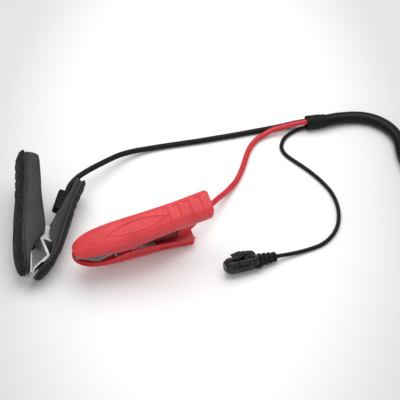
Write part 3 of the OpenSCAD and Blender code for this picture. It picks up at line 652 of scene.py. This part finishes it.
# ---- Sleeve --------------------------------------------------------------------------------
SLEEVE_SIDES = 40


def add_sleeve():
    """The sleeve has a hollow mouth for the leads and a shallow waist before the trunk."""
    r, bore = SLEEVE_D / 2, TRUNK_D / 2
    profile = [(2.2, 0.2), (2.2, r - 1.3), (0.3, r - 1.2), (0, r - 0.9), (0, r - 0.5),
               (0.3, r - 0.1), (0.9, r), (13.6, r), (14, r - 0.15), (14.4, r - 0.45),
               (15, r - 0.5), (19, r - 0.5), (19.6, r - 0.7), (SLEEVE_LEN, r - 1.1),
               (SLEEVE_LEN, bore + 0.02), (18, bore - 0.5)]
    rings = [round_ring(x, radius, SLEEVE_SIDES) for x, radius in profile]
    mesh_piece("splitter_sleeve", "_shell", loft(rings), SLEEVE, "lead_set", "black_rubber",
               SLEEVE_ANGLE)


# ---- Sensor connector ----------------------------------------------------------------------
# The bare oval on the housing's side: its place from the housing's rear, its size, and its
# outline from the outer foot over the flat rim to the inner foot, as inset and rise.
OVAL_AT, OVAL_SIZE, OVAL_STEPS = (12.6, -2.2), (8, 3.8), 32
OVAL_RIM = ((0, -0.3), (0.15, 0.3), (0.65, 0.3), (0.8, -0.3))
# The latch's leaf seen from the side, about its hinge, with its hook in front. Then its
# outlines across: place and share of the leaf's size.
LEAF = [(9.5, 0.7), (9.9, 0), (9.5, -1.2), (8.4, -1.2), (7.9, 0), (2.2, 0), (0, -1), (-2, -0.6),
        (-9, -0.6), (-9.6, 0), (-9.3, 0.7), (-6, 1.3), (-2, 1.9), (2, 1.9), (6, 1.5)]
LEAF_ACROSS = [(-3.3, 0.94), (-3, 0.99), (-2.7, 1), (2.7, 1), (3, 0.99), (3.3, 0.94)]
# The wider plate over the leaf's front, from the side, and half its width.
PLATE = [(12, 0.2), (12.2, 0.5), (12, 0.8), (6, 1.9), (2.4, 2.3), (2.4, 1.1), (6, 0.7)]
PLATE_HALF = 4.4
# Cross bars on the leaf's tail and on the plate: place along X, and height or place in Z.
TAIL_BARS = [(-7.6, 0.6), (-5.8, 0.9), (-4, 1.2)]
PLATE_BARS = [(4.2, 1.9), (6.4, 1.5)]
AXLE_R, AXLE_HALF, AXLE_SIDES = 0.9, 4.6, 20


def slotted_ring(x, width, height, radius, depth=0):
    """A rounded rectangle with a groove of some depth along the upper part of both sides."""
    ring = bar_ring(x, width, height, radius)
    low, high = SLOT_LOW * height, SLOT_HIGH * height
    right = [(x, width / 2 - inset, z) for inset, z in
             ((0, low), (depth, low + 0.3), (depth, high - 0.3), (0, high))]
    left = [(x, -y, z) for _, y, z in reversed(right)]
    corners_above = 2 * ARC_POINTS
    return ring[:corners_above] + left + ring[corners_above:] + right


def add_connector_piece(name, shapes, body, slot):
    mesh_piece(name, "_shape", joined(shapes), CONNECTOR, body, slot, SMALL_ANGLE)


def add_boot():
    """Square ribs that grow towards the housing, round a tapered core with the lead in it."""
    rings = [bar_ring(-0.6, 4.4, 4.4, 2.1)]
    pitch = BOOT_LEN / BOOT_RIBS
    for i in range(BOOT_RIBS):
        size, core = 8 + 0.7 * i, 7 + 0.65 * i
        for x, across, corner in ((0, core, 2), (0.2, size - 0.6, 2), (0.5, size, 2.2),
                                  (2.9, size, 2.2), (3.2, size - 0.6, 2), (3.4, core, 2),
                                  (pitch - 0.1, core + 0.3, 2)):
            rings.append(bar_ring(i * pitch + x, across, across, corner))
    add_connector_piece("sensor_boot", [loft(rings)], "lead_set", "black_rubber")


def side_oval(x, z):
    """The housing's bare oval, as a closed ring of four-sided outlines."""
    length, height = OVAL_SIZE
    rings = []
    for i in range(OVAL_STEPS + 1):
        a = math.tau * i / OVAL_STEPS
        rings.append([(x + (length / 2 - inset) * math.cos(a), CONN_W / 2 + rise,
                       z + (height / 2 - inset) * math.sin(a)) for inset, rise in OVAL_RIM])
    return rings


def add_housing():
    """A housing with rounded edges, a waist behind its rim, a nose and a hollow for contacts."""
    a, b = BOOT_LEN, BOOT_LEN + CONN_LEN
    w, h = CONN_W, CONN_H
    nose = b + NOSE_LEN
    outline = [(a, w - 5, h - 5, 2), (a, w - 2.6, h - 2.6, 2.2), (a + 0.6, w - 1.2, h - 1.2, 2.6),
               (a + 1.6, w - 0.6, h - 0.6, 2.8), (a + 4.6, w - 0.6, h - 0.6, 2.8),
               (a + 5, w - 1.6, h - 1.6, 2.4), (a + 6.4, w - 1.6, h - 1.6, 2.4),
               (a + 6.8, w, h, 2.4), (a + 9, w, h, 2.4), (a + 9.5, w, h, 2.4, SLOT_DEPTH),
               (b - 1, w, h, 2.4, SLOT_DEPTH), (b - 0.3, w - 0.6, h - 0.6, 2.2, SLOT_DEPTH - 0.2),
               (b, w - 1.2, h - 1.2, 2), (b, w - 3.4, h - 3.4, 1),
               (nose - 0.4, w - 3.4, h - 3.4, 1), (nose, w - 4, h - 4, 0.8),
               (nose, w - 5.6, h - 5.6, 0.5), (b + 1, w - 6, h - 6, 0.5)]
    body = loft([slotted_ring(*row) for row in outline])
    oval = loft(side_oval(a + OVAL_AT[0], OVAL_AT[1]))
    side_tab = box((a - 1, w / 2 - 1.2, -4.4), (5, 2.4, 2.2))
    foot = box((b - 4, -2, -h / 2 - 0.6), (3, 4, 1.2))
    lugs = [box((HINGE_X - 1.6, y, h / 2 - 0.6), (3.2, LUG_T, 4.4))
            for y in (-LUG_Y - LUG_T, LUG_Y)]
    add_connector_piece("sensor_housing", [body, oval, side_tab, foot, *lugs], "lead_set",
                        "connector_plastic")


def add_cap():
    """A hollow cap with a groove on its sides and a front that tapers to a shallow frame."""
    a = BOOT_LEN + CONN_LEN + 0.2
    b = a + CAP_LEN
    w, h = CONN_W, CONN_H
    outline = [(a + NOSE_LEN + 0.4, w - 2.8, h - 2.8, 1.2), (a, w - 2.8, h - 2.8, 1.2),
               (a, w - 1, h - 1, 2), (a + 0.5, w, h, 2.2, SLOT_DEPTH),
               (b - 5.4, w, h, 2.4, SLOT_DEPTH), (b - 4.9, w, h, 2.4),
               (b - 3.6, w - 0.5, h - 0.4, 2.6), (b - 1.2, w - 3, h - 2.4, 2.8),
               (b - 0.3, w - 4.2, h - 3.4, 2.6), (b, w - 5, h - 4.2, 2.2),
               (b, w - 6, h - 5.2, 1.7), (b - 0.4, w - 6.4, h - 5.6, 1.5)]
    add_connector_piece("sensor_cap", [loft([slotted_ring(*row) for row in outline])], "cap",
                        "connector_plastic")


def hinge_rings(side, across):
    """Outlines across the latch of a shape that is drawn from the side, about its hinge."""
    return [[(HINGE_X + x * k, y, HINGE_Z + z * k) for x, z in side] for y, k in across]


def hinge_bar(x, half, z, length, height):
    """A bar across the latch, from its lower rear edge."""
    return box((HINGE_X + x, -half, HINGE_Z + z), (length, 2 * half, height))


def add_latch():
    """A rocking leaf with a hook over the cap, a wider plate, cross bars and its axle."""
    leaf = loft(hinge_rings(LEAF, LEAF_ACROSS))
    plate = loft(hinge_rings(PLATE, [(-PLATE_HALF, 1), (PLATE_HALF, 1)]))
    bars = [*(hinge_bar(x, 2.9, 0.9, 0.8, height) for x, height in TAIL_BARS),
            hinge_bar(-1.2, 3, 1.4, 3, 1),
            *(hinge_bar(x, PLATE_HALF, z, 0.7, 0.7) for x, z in PLATE_BARS)]
    circle = [(x, z) for _, x, z in round_ring(0, AXLE_R, AXLE_SIDES)]
    axle = loft(hinge_rings(circle, [(-AXLE_HALF, 1), (AXLE_HALF, 1)]))
    add_connector_piece("sensor_latch", [leaf, *bars, plate, axle], "latch", "connector_plastic")


# ---- Solids that keep their shape ----------------------------------------------------------
KEPT = {
    "jaw_steel": ["red_long_jaw", "red_cable_jaw", "black_long_jaw", "black_cable_jaw"],
    "rivet_steel": ["red_long_rivets", "red_cable_rivets", "black_long_rivets",
                    "black_cable_rivets", "red_pivot_pin", "black_pivot_pin"],
    "spring_steel": ["red_torsion_spring", "black_torsion_spring"],
    "tinned_brass": ["red_crimp", "black_crimp", "sensor_contacts", "plug_pins"],
    "black_rubber": ["plug_boot"],
    "strap": ["coil_tie"],
    "plug_plastic": ["plug_barrel"],
    "plug_ring_plastic": ["plug_ring"],
    "insert_plastic": ["plug_insert"],
}


def finish_kept():
    """Gives the kept solids their materials, and smooth faces between their sharp edges."""
    for slot, names in KEPT.items():
        for name in names:
            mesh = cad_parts[name].data
            mesh.materials.clear()
            mesh.materials.append(LOOKS[slot])
            smooth_but_sharp(mesh, KEPT_ANGLE)


# ---- Floor and light -----------------------------------------------------------------------
FLOOR_HALF = 3.0
FLOOR_Z = -0.0002
# The far tone is painted shade: the grey the floor turns to where the light falls off at the edges
# of the view.
FLOOR_TONE, FLOOR_SHADED_TONE = (248, 248, 248), (210, 210, 211)
# The painted shade's start and end in metres from the middle of the view, and its reach along Y:
# there the floor's colour darkens where the light falls off.
SHADE_START, SHADE_END = 0.095, 0.21
SHADE_SHARES = Vector((1, 0.4, 0))
# Strength of the sky in front (-Y) and behind.
SKY_FRONT, SKY_BACK = 0.85, 0.3
TOP_BOX_PLACE, TOP_BOX_AIM = Vector((0.1, 0.25, 0.75)), Vector((0.1, 0.06, 0))
TOP_BOX_SIZE, TOP_BOX_POWER = (1.0, 0.9), 6


def floor_surface():
    """Matt white that turns to a pale grey away from the middle of the view, sooner along X:
    painted shade for the light's falloff.
    """
    material = surface("floor", FLOOR_TONE, FLOOR_TONE, (0.6, 0.65), 60, 2, 0, 0, 0.1)
    tree = material.node_tree
    offset = tree.nodes.new("ShaderNodeVectorMath")
    offset.operation = "MULTIPLY_ADD"
    offset.inputs[1].default_value = SHADE_SHARES
    offset.inputs[2].default_value = -VIEW_CENTRE * MM * SHADE_SHARES
    tree.links.new(tree.nodes.new("ShaderNodeTexCoord").outputs["Object"], offset.inputs[0])
    distance = tree.nodes.new("ShaderNodeVectorMath")
    distance.operation = "LENGTH"
    tree.links.new(offset.outputs["Vector"], distance.inputs[0])
    # Painted shade: the floor's colour darkens away from the middle of the view, in place of the
    # light's falloff.
    painted_shade = ramp_of(tree, distance.outputs["Value"], linear(FLOOR_TONE), linear(FLOOR_SHADED_TONE),
                   SHADE_START, SHADE_END)
    tree.links.new(painted_shade, tree.nodes["Principled BSDF"].inputs["Base Color"])
    return material


def add_floor():
    """A wide floor a little below the parts, so that it shares no face with them."""
    data = bpy.data.meshes.new("floor")
    corners = ((-1, -1), (1, -1), (1, 1), (-1, 1))
    data.from_pydata([(FLOOR_HALF * x, FLOOR_HALF * y, 0) for x, y in corners], [], [(0, 1, 2, 3)])
    data.materials.append(floor_surface())
    floor = bpy.data.objects.new("floor", data)
    floor.location.z = FLOOR_Z
    bpy.context.scene.collection.objects.link(floor)


def add_top_box():
    """A soft box overhead."""
    data = bpy.data.lights.new("top_box", "AREA")
    data.shape = "RECTANGLE"
    data.size, data.size_y = TOP_BOX_SIZE
    data.energy = TOP_BOX_POWER
    light = bpy.data.objects.new("top_box", data)
    light.location = TOP_BOX_PLACE
    light.rotation_euler = (TOP_BOX_AIM - TOP_BOX_PLACE).to_track_quat("-Z", "Y").to_euler()
    bpy.context.scene.collection.objects.link(light)


def add_sky():
    """A white sky that is bright in front and dim behind."""
    world = bpy.data.worlds.new("studio")
    world.use_nodes = True
    tree = world.node_tree
    parts = tree.nodes.new("ShaderNodeSeparateXYZ")
    tree.links.new(tree.nodes.new("ShaderNodeTexCoord").outputs["Generated"], parts.inputs[0])
    level = node(tree, "ShaderNodeMapRange", From_Min=-1, From_Max=1, To_Min=SKY_FRONT,
                 To_Max=SKY_BACK)
    tree.links.new(parts.outputs["Y"], level.inputs["Value"])
    tree.links.new(level.outputs["Result"], tree.nodes["Background"].inputs["Strength"])
    tree.nodes["Background"].inputs["Color"].default_value = grey(1)
    bpy.context.scene.world = world
    bpy.context.scene.view_settings.view_transform = "Standard"


add_camera()
add_clamp_lead("red", RED, RED_EXIT, RED_ROUTE, RED_BORE)
add_clamp_lead("black", BLACK, BLACK_EXIT, BLACK_ROUTE, BLACK_BORE)
add_sensor_lead()
add_trunk()
add_clamp("red", RED)
add_clamp("black", BLACK)
add_grommet("red", RED)
add_grommet("black", BLACK)
add_sleeve()
add_boot()
add_housing()
add_cap()
add_latch()
finish_kept()
add_floor()
add_sky()
add_top_box()
